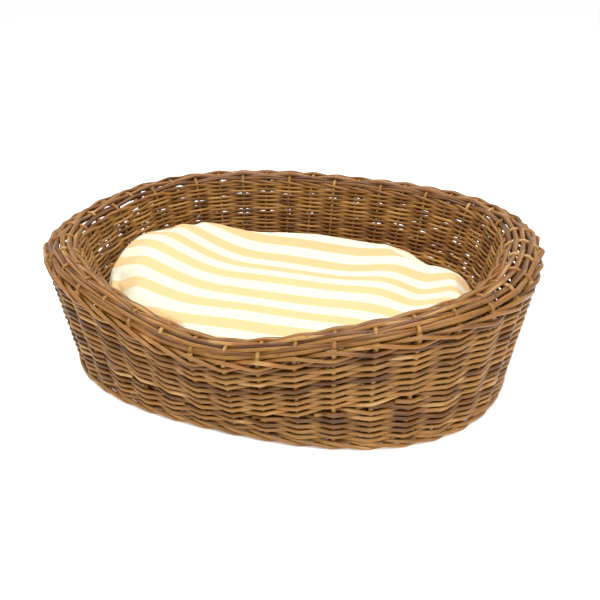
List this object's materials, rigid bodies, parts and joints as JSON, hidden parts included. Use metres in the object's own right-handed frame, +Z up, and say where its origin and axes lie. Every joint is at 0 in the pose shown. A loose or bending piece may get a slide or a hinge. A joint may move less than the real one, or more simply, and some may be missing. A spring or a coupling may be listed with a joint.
{
  "type": "wicker pet bed",
  "caption": "Oval double-walled wicker pet bed with a low front, a woven rolled rim and a loose striped cushion that lifts out.",
  "frame": {"origin": "on the floor under the middle of the basket", "axes": "+X along the long way of the oval, the low front faces -Y, +Z up"},
  "size_m": [0.7494, 0.6241, 0.21],
  "materials": {
    "stake_willow": "satin",
    "wall_willow": "satin",
    "rim_willow": "satin",
    "lining_willow": "satin",
    "base_willow": "satin",
    "cushion_cloth": "matte",
    "wadding": "matte"
  },
  "bodies": {
    "basket": {"foot_wale": "wall_willow", "base_sticks": "base_willow", "base_weavers": "base_willow", "outer_stakes": "stake_willow", "outer_weave_lower": "wall_willow", "outer_packing": "wall_willow", "outer_weave_upper": "wall_willow", "rim_wale": "rim_willow", "rim_rod_1": "rim_willow", "rim_rod_2": "rim_willow", "rim_rod_3": "rim_willow", "rim_rod_4": "rim_willow", "rim_rod_5": "rim_willow", "rim_inner_pair": "rim_willow", "lining_stakes": "stake_willow", "lining_weave_upper": "lining_willow", "lining_packing": "lining_willow", "lining_weave_lower": "lining_willow"},
    "cushion": {"cushion_cover": "cushion_cloth", "cushion_filling": "wadding"}
  },
  "joints": [
    {"name": "cushion_lift", "type": "slide", "parent": "basket", "child": "cushion", "axis": [0, 0, 1], "range_m": [0, 0.3]}
  ]
}
